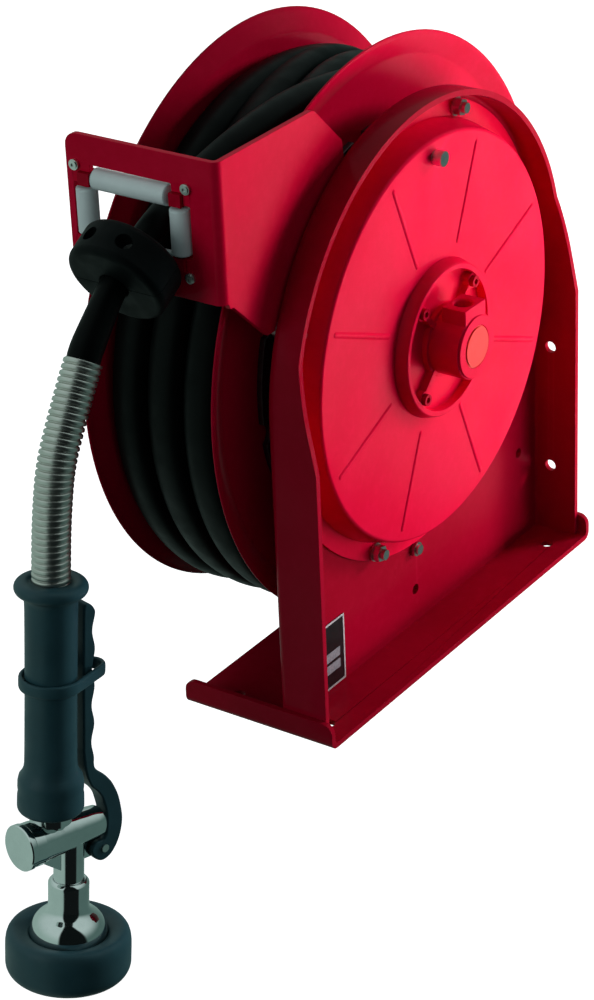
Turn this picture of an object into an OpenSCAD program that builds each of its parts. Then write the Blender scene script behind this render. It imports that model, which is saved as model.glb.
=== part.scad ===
// Spring-rewind hose reel on a single side frame, with an armoured hose end and a squeeze spray valve.
// Frame: X runs along the drum axis towards the spring case, -Y is the hose guide side, +Z is up.
// Origin: centre of the base tray's underside.

/* [Base and frame] */
// Length of the base tray
base_length = 280; // [270:1:290]
// Width of the base tray
base_width = 97.8; // [94:0.2:104]
// Sheet thickness of tray, side frame and guide
sheet = 3.3; // [2.8:0.1:3.6]
// Height of the tray's turned-up lips
lip_height = 15.5; // [12:0.5:18]
// Outer bend radius of the sheet parts
bend_r = 5; // [4:0.5:6]
// Spacing of the tray's mounting holes across the tray
hole_pitch_x = 60; // [56:1:64]
// Spacing of the tray's mounting holes along the tray
hole_pitch_y = 236; // [230:1:240]
// Diameter of every mounting hole
hole_d = 7; // [6:0.5:8]
// Height of the drum axis above the tray's underside
axis_z = 186; // [184:0.5:188]
// X of the side plate's inner face
plate_x = 12.3; // [12:0.1:12.6]
// Outer radius of the side frame's arch
arch_r = 136.5; // [136:0.5:137]
// X of the flange's free edge on the legs
leg_x = 42.9; // [41:0.1:44]
// X of the flange's free edge round the arch
arch_x = 31.4; // [30.6:0.1:32]

/* [Drum] */
// Radius of the drum flanges
flange_r = 163.4; // [162:0.2:164.4]
// X of the near flange's rim
near_x = -1.7; // [-2.2:0.1:-1.2]
// X of the far flange's rim
far_x = -86.1; // [-87:0.1:-85]
// Radius of the hose barrel between the flanges
core_r = 104; // [100:0.5:104]
// Radius of the drum shaft
shaft_r = 12; // [11:0.5:12]
// Running clearance on radius
clearance = 0.06; // [0.02:0.01:0.1]
// Outer radius of the wound hose
wound_r = 154; // [150:0.5:154]
// How far the wound hose hangs below the drum axis
sag = 8; // [6:0.5:8]

/* [Spring case and hub] */
// Radius of the spring case's face
case_r = 116.1; // [115:0.1:117]
// X of the spring case's face
case_x = 33; // [32.5:0.1:33.5]
// Diameter of the spring case's bolt circle
case_bolt_circle = 250.2; // [250:0.1:250.6]
// Radius of the hub's outer ring
ring_r = 45.2; // [44:0.2:46]
// Radius of the swivel boss
boss_r = 18.7; // [18:0.1:20]
// X of the swivel boss's end face
boss_x = 57.4; // [56.5:0.1:58]
// Radius of the water inlet port
port_r = 5; // [4.5:0.1:5.5]

/* [Hose guide] */
// Y of the guide plate's front face
guide_y = -167; // [-168:0.1:-166.6]
// X of the roller window's centre
window_x = -41.6; // [-42:0.1:-41]
// Z of the roller window's centre
window_z = 300.75; // [300.5:0.05:301]
// Radius of the guide rollers
roller_r = 5.7; // [5.4:0.1:5.8]
// Length of the two horizontal rollers
flat_roller_length = 46.8; // [45:0.1:47]
// Length of the two upright rollers
upright_roller_length = 25.2; // [24:0.1:25.4]

/* [Hose and spray valve] */
// Radius of the hose
hose_r = 7.6; // [7:0.1:7.6]
// Radius of the armoured sleeve
armour_r = 10; // [9.5:0.1:10]
// Radius of the hose stop
stop_r = 27.4; // [26:0.1:28]
// Half thickness of the hose stop
stop_half_height = 11.2; // [10:0.1:12]
// Radius of the rubber grip
grip_r = 13.5; // [13:0.1:14]
// Radius of the spray head's bumper
bumper_r = 33.3; // [32:0.1:34]
// Distance from the grip's axis to the spray outlet's axis
outlet_x = 12; // [11:0.1:13]

/* [Hidden] */
$fn = 64;
overlap = 0.01;
red = "crimson";

plate_outer_x = plate_x + sheet;
bend_inner_r = bend_r - sheet;
// pawl pivot and spring anchor, as [y, z]
pawl_pivot = [-2.9, 51.1];
spring_anchor = [-0.6, 291.6];
// bores round the shaft: turning on it, and fixed to it
running_bore_r = shaft_r + clearance;
fixed_bore_r = shaft_r + 0.02;

// ---------- helpers ----------
// points of an arc about (cx, cy), from angle a0 to a1
function arc(cx, cy, r, a0, a1, steps = 6) = [for (i = [0 : steps])
  let (a = a0 + (a1 - a0) * i / steps) [cx + r * cos(a), cy + r * sin(a)]];
// several point lists as one
function join(lists) = [for (list = lists) for (point = list) point];
// rectangle outline with corner radii in the order [x0y0, x1y0, x1y1, x0y1]
function rounded_rect(x0, y0, x1, y1, r) = join([
  arc(x0 + r[0], y0 + r[0], r[0], 180, 270), arc(x1 - r[1], y0 + r[1], r[1], 270, 360),
  arc(x1 - r[2], y1 - r[2], r[2], 0, 90), arc(x0 + r[3], y1 - r[3], r[3], 90, 180)]);
// the same with one radius at all corners
function even_rect(x0, y0, x1, y1, r) = rounded_rect(x0, y0, x1, y1, [r, r, r, r]);

// a YZ outline pushed along +X from x
module extrude_x(x, depth) {
  translate([x, 0, 0]) rotate([90, 0, 90]) linear_extrude(depth) children();
}
// an XZ outline pushed along +Y from y
module extrude_y(y, depth) {
  translate([0, y + depth, 0]) rotate([90, 0, 0]) linear_extrude(depth) children();
}
// a turned shape about the drum axis from a [radius, x] outline
module turned(angle = 360, z = axis_z) {
  translate([0, 0, z]) rotate([90, 0, 90]) rotate_extrude(angle = angle, $fn = 96) children();
}
// a cylinder along X, centred on the point at = [y, z]
module rod_x(x0, x1, r, at = [0, axis_z]) {
  translate([x0, at[0], at[1]]) rotate([0, 90, 0]) cylinder(h = x1 - x0, r = r);
}
// a cylinder along Y, centred on the point at = [x, z]
module rod_y(y0, y1, r, at) {
  translate([at[0], y1, at[1]]) rotate([90, 0, 0]) cylinder(h = y1 - y0, r = r);
}
// copies on a circle about the drum axis, each child's +Z laid along +X;
// angle 0 is +Y, turning towards +Z
module ring(count, r, start = 0) {
  for (i = [0 : count - 1]) {
    a = start + 360 * i / count;
    translate([0, r * cos(a), axis_z + r * sin(a)]) rotate([0, 90, 0]) children();
  }
}
module case_bolt_places() ring(4, case_bolt_circle / 2, -111.5) children();
module hub_screw_places() ring(4, 36, 45) children();
module tie_bolt_places() ring(4, 90, 45) children();
// four-turn coil along +Z
module coil_spring(length, coil_r, wire_r) {
  linear_extrude(height = length, twist = -360 * 4, slices = 56, segments = 4)
    translate([coil_r, 0]) circle(r = wire_r, $fn = 6);
}

// ---------- base and frame ----------
tray_hole_centre = [4, -3];

module base_tray() color(red) difference() {
  end_y = base_length / 2;
  bend_y = end_y - bend_r;
  intersection() {
    extrude_x(-base_width / 2, base_width) polygon(join([
      [[-end_y, lip_height]],
      arc(-bend_y, bend_r, bend_r, 180, 270), arc(bend_y, bend_r, bend_r, 270, 360),
      [[end_y, lip_height], [end_y - sheet, lip_height]],
      arc(bend_y, bend_r, bend_inner_r, 0, -90), arc(-bend_y, bend_r, bend_inner_r, 270, 180),
      [[-end_y + sheet, lip_height]]]));
    // rounds the lips' upper corners
    extrude_y(-end_y - 1, base_length + 2)
      polygon(rounded_rect(-base_width / 2, -8, base_width / 2, lip_height, [1, 1, 6, 6]));
  }
  for (sx = [-1, 1], sy = [-1, 1])
    translate([tray_hole_centre[0] + sx * hole_pitch_x / 2,
      tray_hole_centre[1] + sy * hole_pitch_y / 2, -1]) cylinder(h = sheet + 2, d = hole_d);
}

module side_frame() color(red) difference() {
  bend_x = plate_x + bend_r;
  bend_y = arch_r - bend_r;
  union() {
    // legs
    translate([0, 0, sheet]) linear_extrude(axis_z - sheet) polygon(join([
      [[leg_x, -arch_r]],
      arc(bend_x, -bend_y, bend_r, 270, 180), arc(bend_x, bend_y, bend_r, 180, 90),
      [[leg_x, arch_r], [leg_x, arch_r - sheet]],
      arc(bend_x, bend_y, bend_inner_r, 90, 180), arc(bend_x, -bend_y, bend_inner_r, 180, 270),
      [[leg_x, -arch_r + sheet]]]));
    // arch
    turned(180) polygon(join([
      [[0, plate_x]], arc(bend_y, bend_x, bend_r, 270, 360),
      [[arch_r, leg_x], [arch_r - sheet, leg_x]],
      arc(bend_y, bend_x, bend_inner_r, 360, 270), [[0, plate_outer_x]]]));
  }
  // the flange narrows from the legs to the arch
  extrude_y(-arch_r - 5, 2 * arch_r + 10) polygon([[leg_x, 163.5], [leg_x + 20, 163.5],
    [leg_x + 20, 340], [arch_x, 340], [arch_x, 222]]);
  // mounting holes in the +Y leg's flange
  for (z = [46.2, 124.5]) rod_y(arch_r - 10, arch_r + 5, hole_d / 2, [25.9, z]);
  rod_x(plate_x - 1, plate_outer_x + 1, 16);
  case_bolt_places() translate([0, 0, 5]) cylinder(h = 20, r = 3.1);
  rod_x(5, 20, 3.1, pawl_pivot);
  rod_x(5, 20, 3.1, [pawl_pivot[0], 24.2]);
  rod_x(5, 20, 3, [113.2, 60.6]);
  // reliefs over the tray's inner bends
  for (side = [-1, 1])
    translate([plate_x - 1, side * (arch_r - 0.6) - 1.1, sheet - 0.3]) cube([leg_x, 2.2, 2.1]);
}

// ---------- hose guide ----------
roller_y = guide_y + 1.5;
// roller axes and screws, measured from the window's centre
top_roller_z = 17.9;
bottom_roller_z = -18.3;
side_roller_x = 29.4;
guide_screw = [34.8, 23.9];
roller_pin_r = 1.5;
// centred openings in the guide plate: x0, z0, x1, z1, corner radius
window_cuts = [[-36.5, -14.5, 36.5, 14.5, 1], [-25.5, -25.4, 25.5, 25, 1],
  [-32.4, -20.9, 32.4, 20.9, 0.5]];

module guide_screw_places() {
  translate([window_x, 0, window_z]) for (sx = [-1, 1], sz = [-1, 1])
    translate([sx * guide_screw[0], 0, sz * guide_screw[1]]) children();
}

module guide_bracket() color(red) {
  plate_end_x = -82;
  bottom = 264.6;
  top = 341.3;
  bend_x = plate_x - bend_r;
  difference() {
    intersection() {
      // L-shaped section seen from above
      translate([0, 0, 230]) linear_extrude(115) polygon(join([
        [[plate_end_x, guide_y]], arc(bend_x, guide_y + bend_r, bend_r, 270, 360),
        [[plate_x, -50], [plate_x - sheet, -50]],
        arc(bend_x, guide_y + bend_r, bend_inner_r, 360, 270), [[plate_end_x, guide_y + sheet]]]));
      // front and side outlines
      union() {
        extrude_y(guide_y - 1, 5)
          polygon(rounded_rect(plate_end_x, bottom, plate_x + 1, top, [7, 0.5, 0.5, 7]));
        extrude_x(bend_x - 1, bend_r + 2) polygon([
          [guide_y - 1, bottom], [-162.6, bottom], [-161, 261.5], [-158.6, 261.5], [-130.8, 235],
          [-124, 235], [-122, 239], [-70, 239], [-52, 270], [-57.2, 316.6], [-80.8, 340],
          [-83.6, top], [guide_y - 1, top]]);
      }
    }
    translate([window_x, 0, window_z]) for (cut = window_cuts)
      extrude_y(guide_y - 1, 6) polygon(even_rect(cut[0], cut[1], cut[2], cut[3], cut[4]));
    guide_screw_places() rod_y(guide_y - 1, guide_y + 5, 2.1, [0, 0]);
  }
}

// four corner blocks that carry the roller pins, each with a tab clamped behind the plate
module roller_brackets() color("firebrick") {
  translate([window_x, 0, window_z]) for (sx = [-1, 1], sz = [-1, 1]) difference() {
    union() {
      translate([sx * 28.6 - 3.6, guide_y - 2.2, sz * 17.2 - 3.5]) cube([7.2, 8.8, 7]);
      translate([sx * 33.4 - 4.5, guide_y + sheet + 0.02, sz * 22.4 - 5]) cube([9, 3.2, 10]);
    }
    rod_y(guide_y, guide_y + 10, 1.9, [sx * guide_screw[0], sz * guide_screw[1]]);
    translate([sx * 26.2, roller_y, sz > 0 ? top_roller_z : bottom_roller_z])
      rotate([0, 90, 0]) cylinder(h = 3.2, r = roller_pin_r, center = true);
    translate([sx * side_roller_x, roller_y, sz * 14.6])
      cylinder(h = 4.2, r = roller_pin_r, center = true);
  }
}

module roller_pins() color("silver") translate([window_x, roller_y, window_z]) {
  for (z = [top_roller_z, bottom_roller_z])
    translate([-27.6, 0, z]) rotate([0, 90, 0]) cylinder(h = 55.2, r = roller_pin_r);
  for (x = [-side_roller_x, side_roller_x])
    translate([x, 0, -16.4]) cylinder(h = 32.8, r = roller_pin_r);
}

module guide_screws() color("silver") guide_screw_places() difference() {
  union() {
    rod_y(guide_y - 1.5, guide_y, 2.9, [0, 0]);
    rod_y(guide_y - 2.2, guide_y - 1.4, 2.2, [0, 0]);
    rod_y(guide_y, guide_y + 9, 1.9, [0, 0]);
  }
  rod_y(guide_y - 3, guide_y - 1.5, 1, [0, 0]);
}

// a roller with stepped ends, at (x, z) from the window's centre
module roller(length, x, z, turn_y = 0) {
  translate([window_x + x, roller_y, window_z + z]) rotate([0, turn_y, 0]) difference() {
    union() {
      cylinder(h = length - 1.2, r = roller_r, center = true);
      cylinder(h = length, r = roller_r - 0.6, center = true);
    }
    cylinder(h = length + 1, r = roller_pin_r + clearance, center = true);
  }
}
module roller_top() color("whitesmoke") roller(flat_roller_length, 0, top_roller_z, 90);
module roller_bottom() color("whitesmoke") roller(flat_roller_length, 0, bottom_roller_z, 90);
module roller_left() color("whitesmoke") roller(upright_roller_length, -side_roller_x, 0);
module roller_right() color("whitesmoke") roller(upright_roller_length, side_roller_x, 0);

// ---------- spring case and hub ----------
inlet_x = case_x + 15.8;
seal_x = [case_x + 7.1, case_x + 9.4];

module spring_case() color(red) difference() {
  bead_r = 2.7;
  bead_ends = [54, 108];
  union() {
    turned() polygon(join([
      [[15.2, case_x - 1.5], [15.2, case_x]], arc(case_r - 2.2, case_x - 2.2, 2.2, 90, 0, 5),
      [[119.3, plate_outer_x + 3.4], [119.5, plate_outer_x + 1.6], [130, plate_outer_x + 1.6],
       [130, plate_outer_x], [118.2, plate_outer_x], [118.2, plate_outer_x + 3.2],
       [case_r - 2.4, case_x - 4.2], [case_r - 3, case_x - 1.5]]]));
    // eight pressed beads
    intersection() {
      rod_x(case_x - 1.2, case_x + 5, 113);
      for (i = [0 : 7])
        translate([case_x - 2.1, 0, axis_z]) rotate([22.5 + 45 * i, 0, 0]) {
          rod_y(bead_ends[0], bead_ends[1], bead_r, [0, 0]);
          for (y = bead_ends) translate([0, y, 0]) sphere(r = bead_r, $fn = 32);
        }
    }
  }
  case_bolt_places() cylinder(h = 25, r = 3.1);
  rod_x(case_x - 6, case_x + 6, 2.52, spring_anchor);
  hub_screw_places() translate([0, 0, 20]) cylinder(h = 20, r = 2.05);
}

module case_bolts() color("silver") case_bolt_places() {
  translate([0, 0, plate_x - 5]) cylinder(h = 17.5, r = 3);
  translate([0, 0, plate_outer_x + 1.6]) cylinder(h = 1, r = 5.4);
  translate([0, 0, plate_outer_x + 2.6]) rotate(15) cylinder(h = 4, r = 4.9, $fn = 6);
  translate([0, 0, plate_x - 4.6]) rotate(40) cylinder(h = 4.6, r = 4.9, $fn = 6);
}

// stud that anchors the spring's outer end
module spring_anchor_pin() color("silver") {
  rod_x(case_x - 15, case_x + 0.5, 2.5, spring_anchor);
  rod_x(case_x, case_x + 6, 4.2, spring_anchor);
}

function spiral(steps, r0, r1, turns) = [for (i = [0 : steps])
  let (r = r0 + (r1 - r0) * i / steps, a = 360 * turns * i / steps) [r * cos(a), r * sin(a)]];

// flat spiral power spring
module power_spring() color("dimgray") {
  steps = 168;
  turns = 7;
  band = 1.2;
  inner = spiral(steps, 20, 108, turns);
  outer = spiral(steps, 20 + band, 108 + band, turns);
  translate([0, 0, axis_z]) extrude_x(18, 12)
    polygon(concat(inner, [for (i = [steps : -1 : 0]) outer[i]]));
}

module hub_casting() color(red) difference() {
  union() {
    turned() polygon([[16, case_x], [16, case_x + 2], [39.4, case_x + 2], [39.8, case_x + 7],
      [42.6, case_x + 7], [43.3, case_x + 6.2], [ring_r, case_x]]);
    rod_x(case_x, boss_x - 1.2, boss_r);
    rod_x(boss_x - 1.2 - overlap, boss_x, boss_r - 1);
    rod_x(case_x + 1, case_x + 5, boss_r + 2);
    // four ribs with screw bosses
    for (i = [0 : 3]) translate([case_x + 1, 0, axis_z]) rotate([45 + 90 * i, 0, 0]) {
      translate([0, 17, -1.7]) cube([5, 23.5, 3.4]);
      translate([0, 36, 0]) rotate([0, 90, 0]) cylinder(h = 5, r = 4.4);
    }
    // flat-topped inlet block
    translate([case_x + 8.6, -10.3, axis_z]) cube([boss_x - case_x - 9.4, 20.6, 24.3]);
  }
  rod_x(case_x - 1, case_x + 6, 15);
  rod_x(case_x + 5.9, boss_x - 2.2, 9.6);
  rod_x(boss_x - 3, boss_x + 1, 12.1);
  translate([inlet_x, 0, axis_z]) cylinder(h = 30, r = port_r);
  translate([inlet_x, 0, axis_z + 23.4]) cylinder(h = 1, r1 = port_r, r2 = port_r + 1);
  hub_screw_places() translate([0, 0, 20]) cylinder(h = 30, r = 2.05);
}

module hub_screws() color("firebrick") hub_screw_places() difference() {
  union() {
    translate([0, 0, case_x - 2.6]) cylinder(h = 9, r = 2);
    translate([0, 0, case_x + 6]) cylinder(h = 2.6, r = 3.3);
  }
  translate([0, 0, case_x + 7]) rotate(30) cylinder(h = 3, r = 1.8, $fn = 6);
}

module swivel_plug() color("orangered") {
  rod_x(boss_x - 2.2, boss_x - 0.4, 12);
  rod_x(boss_x - 0.4 - overlap, boss_x + 0.4, 11.2);
}

module frame_bushing() color("goldenrod") difference() {
  union() {
    rod_x(plate_x - 2.5, plate_outer_x, 16);
    rod_x(plate_outer_x, plate_outer_x + 2, 21);
  }
  rod_x(0, 30, running_bore_r);
}

module hub_bushing() color("goldenrod") difference() {
  rod_x(case_x - 0.8, case_x + 5.5, 15);
  rod_x(0, 60, running_bore_r);
}

// blank rating plate with a raised border and two raised blocks
module label_plate() color("black") {
  outline = even_rect(-121, 4.4, -77, 45.8, 1);
  extrude_x(plate_outer_x, 0.35) polygon(outline);
  extrude_x(plate_outer_x + 0.3, 0.25) difference() {
    polygon(outline);
    polygon(even_rect(-119.8, 5.6, -78.2, 44.6, 0.5));
  }
  for (z = [14, 21.5])
    extrude_x(plate_outer_x + 0.3, 0.25) polygon(even_rect(-116, z, -82, z + 5.6, 0.4));
}

// ---------- drum latch ----------
pawl_pin_r = 3;

module pawl_pin() color("silver") {
  rod_x(near_x - 3.8, plate_outer_x + 4, pawl_pin_r, pawl_pivot);
  rod_x(near_x - 0.4, plate_x, 4.4, pawl_pivot);
  rod_x(plate_outer_x, plate_outer_x + 2.4, 4.2, pawl_pivot);
}

module latch_pawl() color("dimgray") {
  translate([near_x - 3.6, pawl_pivot[0], pawl_pivot[1]]) difference() {
    union() {
      rotate([0, 90, 0]) cylinder(h = 3, r = 6);
      rotate([34, 0, 0]) extrude_x(0.2, 2.6) polygon(concat(
        [[-14, -2.2], [0, -2.4]], arc(24, 0, 3, -53, 53), [[0, 2.4], [-14, 2.2]]));
    }
    rotate([0, 90, 0]) cylinder(h = 10, r = pawl_pin_r + clearance, center = true);
  }
}

module pawl_spring() color("silver") {
  translate([3, pawl_pivot[0], pawl_pivot[1]]) rotate([0, 90, 0]) coil_spring(7, 5.6, 0.6);
}

// ---------- drum ----------
flange_depth = 6.3;
flange_web = 2;
// X of the outer faces of the two flange webs
near_web_x = near_x - flange_depth + flange_web;
far_web_x = far_x + flange_depth - flange_web;
// X of the water outlet from the shaft to the barrel
drum_outlet_x = -44;

module ratchet_ring() color("dimgray") difference() {
  turned() polygon([[98, near_web_x], [118, near_web_x], [118, near_x - 0.9], [98, near_x - 0.9]]);
  ring(12, 119.5, -81) cylinder(h = 40, r = 6.5, center = true);
}

module main_shaft() color("silver") difference() {
  union() {
    rod_x(far_x + 5, case_x + 5.3, shaft_r);
    rod_x(far_x - 6, far_x + 6, 9);
    rod_x(case_x + 5.3 - overlap, case_x + 11, 8.9);
  }
  rod_x(-52, case_x + 20, 5);
  translate([drum_outlet_x, 0, axis_z - 20]) cylinder(h = 20, r = 4.5);
  // seal grooves
  for (x = seal_x) difference() {
    rod_x(x - 1, x + 1, 12);
    rod_x(x - 2, x + 2, 7.7);
  }
}

module shaft_seals() color("black") {
  for (x = seal_x) turned() translate([8.55, x]) circle(r = 0.85, $fn = 24);
}

// hexagon nut and washer at the far end
module shaft_nut() color("silver") difference() {
  union() {
    rod_x(far_x + 2.3, far_web_x, 19);
    translate([far_x - 4.2, 0, axis_z]) rotate([0, 90, 0]) cylinder(h = 6.6, r = 15, $fn = 6);
  }
  rod_x(far_x - 10, far_x + 10, 9.02);
}

module shaft_spacer() color("silver") difference() {
  rod_x(near_web_x, plate_x - 2.7, 19);
  rod_x(-10, 20, fixed_bore_r);
}

module spring_arbor() color("dimgray") difference() {
  rod_x(plate_outer_x + 2.2, case_x - 1.7, 18.5);
  rod_x(0, 40, fixed_bore_r);
  translate([0, 16, axis_z - 1]) cube([60, 10, 2]);
}

// dished disc with its rim at rim_x; side is the direction from its web to its rim
module drum_flange(rim_x, side, hole_x) difference() {
  web_x = rim_x - side * flange_depth;
  back_x = web_x + side * flange_web;
  turned() polygon([[fixed_bore_r, web_x], [149, web_x], [152, web_x + side * 0.5],
    [160.5, web_x + side * 4.6], [flange_r - 0.8, web_x + side * 4.7],
    [flange_r, web_x + side * 5.3], [flange_r, web_x + side * 6.1], [flange_r - 0.5, rim_x],
    [159.6, rim_x], [151, web_x + side * 2.6], [148.5, back_x], [fixed_bore_r, back_x]]);
  tie_bolt_places() translate([0, 0, hole_x]) cylinder(h = 30, r = 4.05);
}
module drum_flange_near() color(red) drum_flange(near_x, 1, -15);
module drum_flange_far() color(red) drum_flange(far_x, -1, -95);

module drum_core() color(red) difference() {
  rod_x(far_x + flange_depth, near_x - flange_depth, core_r);
  rod_x(far_x, near_x, core_r - 2.5);
  translate([drum_outlet_x, 0, axis_z - core_r - 5]) cylinder(h = 30, r = 8.1);
}

module drum_tie_bolts() color("silver") tie_bolt_places() {
  translate([0, 0, far_x + 0.2]) cylinder(h = near_x - far_x - 4, r = 4);
  translate([0, 0, near_web_x]) rotate(15) cylinder(h = 3.4, r = 7, $fn = 6);
  translate([0, 0, far_x - 0.6]) rotate(15) cylinder(h = 4.9, r = 7, $fn = 6);
}

// straight pipe from the hollow shaft down to the barrel
module outlet_elbow() color("goldenrod") difference() {
  union() {
    translate([drum_outlet_x, 0, axis_z - core_r + 0.5])
      cylinder(h = core_r - 0.5 - shaft_r - 0.4, r = 7);
    translate([drum_outlet_x, 0, axis_z - 34]) cylinder(h = 14, r = 10.5);
  }
  translate([drum_outlet_x, 0, axis_z - core_r - 1]) cylinder(h = core_r, r = 4.6);
  rod_x(-60, -20, fixed_bore_r);
}

// wound hose: one closed body with the outer turns showing as three rounds
module wound_hose() color("black") {
  x0 = far_x + 7.2;
  x1 = near_x - 7.2;
  inner_r = core_r + sag + 1;
  round_r = 12.2;
  steps = 48;
  width = x1 - x0;
  pitch = width / 3;
  turned(z = axis_z - sag) polygon(concat([[inner_r, x0], [inner_r, x1]],
    [for (i = [steps : -1 : 0])
      let (along = width * i / steps, off = abs(min(along, width - 0.001) % pitch - pitch / 2))
      [wound_r - round_r + sqrt(max(0, round_r * round_r - off * off)), x0 + along]]));
}

// ---------- hose run ----------
hose_x = -31;
stop_centre = [hose_x, -189.1, 284.8];
stop_screw_y = [-10.5, 10.5];
// top of the grip, with the spray valve's tilt and its turn about its own axis
wand_centre = [hose_x, -265.37, 144.5];
wand_tilt = 7.2;
wand_turn = 76;
// distance from the grip's top to the start of the hose path
hose_start = 16;
// the hanging hose from the valve up to the stop: [length, turn towards the reel]
hose_path = [[34.2, 6.6], [22.4, 15.9], [40.4, 4.5], [34.6, 10.2]];
hose_end = run_end(hose_path,
  [wand_centre[1] + hose_start * sin(wand_tilt), wand_centre[2] + hose_start * cos(wand_tilt)],
  wand_tilt);

// bend radius of a path entry, 0 where it is straight
function path_radius(entry) = entry[1] == 0 ? 0 : entry[0] / (entry[1] * PI / 180);
// [y, z] reached on a bend of radius r after turning by an angle
function bend_point(r, angle) = [r * (1 - cos(angle)), r * sin(angle)];
// [y, z] where a path ends, starting at [y, z] with a tilt
function run_end(path, start, tilt, i = 0) = i == len(path) ? start :
  let (move = bend_point(path_radius(path[i]), path[i][1]))
  run_end(path, start + [move[0] * cos(tilt) + move[1] * sin(tilt),
    move[1] * cos(tilt) - move[0] * sin(tilt)], tilt + path[i][1], i + 1);

// a tube in the YZ plane along a path of [length, turn towards +Y from straight up],
// drawn from entry first on. A bend is short straight lengths with round joints.
module hose_run(path, tube_r, first = 0, i = 0) {
  if (i < len(path)) {
    length = path[i][0];
    angle = path[i][1];
    pieces = angle == 0 ? 1 : ceil(abs(angle) / 6);
    half_step = angle / 2 / pieces;
    r = path_radius(path[i]);
    chord = angle == 0 ? length : 2 * r * sin(half_step);
    if (i >= first) for (k = [0 : pieces - 1]) {
      at = bend_point(r, angle * k / pieces);
      translate([0, at[0], at[1]]) rotate([-angle * k / pieces - half_step, 0, 0]) {
        if (k > 0 || i > first) sphere(r = tube_r + 0.05);
        cylinder(h = chord, r = tube_r);
      }
    }
    end = angle == 0 ? [0, length] : bend_point(r, angle);
    translate([0, end[0], end[1]]) rotate([-angle, 0, 0]) hose_run(path, tube_r, first, i + 1);
  }
}

// from inside the stop back through the rollers towards the drum
module hose_tail() color("black") {
  translate(stop_centre) rotate([-60, 0, 0]) translate([0, 0, -11])
    hose_run([[37, 0], [26, 23], [22, 0]], hose_r);
}

// local frame of the stop: +Z along the hose towards the drum, +X facing up and forward
module stop_frame() {
  translate(stop_centre) rotate([-60, 0, 0]) rotate([0, 0, -90]) children();
}

// half of the stop on local +X (side = 1) or -X (side = -1)
module stop_half(side) stop_frame() difference() {
  corner_r = 4;
  corner_z = stop_half_height - corner_r;
  rotate([0, 0, side > 0 ? -90 : 90]) rotate_extrude(angle = 180) polygon(join([
    [[hose_r + 0.05, -stop_half_height]],
    arc(stop_r - corner_r, -corner_z, corner_r, -90, 0),
    arc(stop_r - corner_r, corner_z, corner_r, 0, 90),
    [[hose_r + 0.05, stop_half_height]]]));
  // parting gap
  translate([side * 0.15 - 0.15, -40, -40]) cube([0.3, 80, 80]);
  for (y = stop_screw_y) {
    translate([0, y, 0]) rotate([0, 90, 0]) cylinder(h = 80, r = 2.1, center = true);
    translate([side > 0 ? 16 : -56, y, 0]) rotate([0, 90, 0]) cylinder(h = 40, r = 4.6);
  }
}
module hose_stop_upper() color("dimgray") stop_half(1);
module hose_stop_lower() color("dimgray") stop_half(-1);

module stop_screws() color("silver") stop_frame() for (y = stop_screw_y)
  translate([0, y, 0]) rotate([0, 90, 0]) {
    translate([0, 0, -19.6]) cylinder(h = 35.7, r = 2);
    translate([0, 0, 16]) cylinder(h = 2.6, r = 3.8);
    translate([0, 0, -19.2]) rotate(30) cylinder(h = 3.2, r = 4, $fn = 6);
  }

module hose_start_frame() {
  translate(wand_centre) rotate([-wand_tilt, 0, 0]) translate([0, 0, hose_start]) children();
}

// hose between the stop and the armoured sleeve; the upper end is round, where it flexes
module free_hose() color("black") {
  translate([hose_x, hose_end[0], hose_end[1]]) sphere(r = hose_r + 0.05);
  hose_start_frame() hose_run(hose_path, hose_r, first = 3);
}

module armoured_hose() color("silver") hose_start_frame() {
  sphere(r = armour_r + 0.05);
  hose_run([hose_path[0], hose_path[1], [hose_path[2][0] - 0.9, hose_path[2][1]]], armour_r);
}

// ---------- spray valve ----------
// Local frame: origin at the grip's top, +Z up the grip, +X towards the lever.
// Turned outlines are [radius, z].
cross_z = -145;
lever_pivot = [32, -160];
lever_pin_r = 1.5;
plunger_r = 2.5;

module wand() {
  translate(wand_centre) rotate([-wand_tilt, 0, 0]) rotate([0, 0, wand_turn]) children();
}
// the spray outlet's axis
module outlet() wand() translate([outlet_x, 0, 0]) children();
// places a child's +Z along +X on the cross tube's axis
module cross(x) translate([x, 0, cross_z]) rotate([0, 90, 0]) children();

module hose_ferrule() color("silver") wand() rotate_extrude() polygon([
  [8.2, -24], [10.2, -24], [10.2, -2], [armour_r, -1.5], [armour_r, 5.4], [8.2, 5.4]]);

module handle_tube() color("silver") wand() rotate_extrude()
  polygon([[6.6, -128], [10.2, -128], [10.2, -25], [6.6, -25]]);

module grip() color("darkslategray") wand() rotate_extrude() polygon(join([
  [[10.25, 0], [15, 0]], arc(15.4, -3.6, 3.6, 80, -70),
  [[grip_r + 0.3, -9], [grip_r, -14], [grip_r, -103.5], [grip_r + 0.6, -106.3],
   [16.4, -109.6], [17.2, -112.3], [17.4, -124.7]],
  arc(14.4, -125.7, 3, 0, -90, 4), [[10.25, -128.7]]]));

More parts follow.
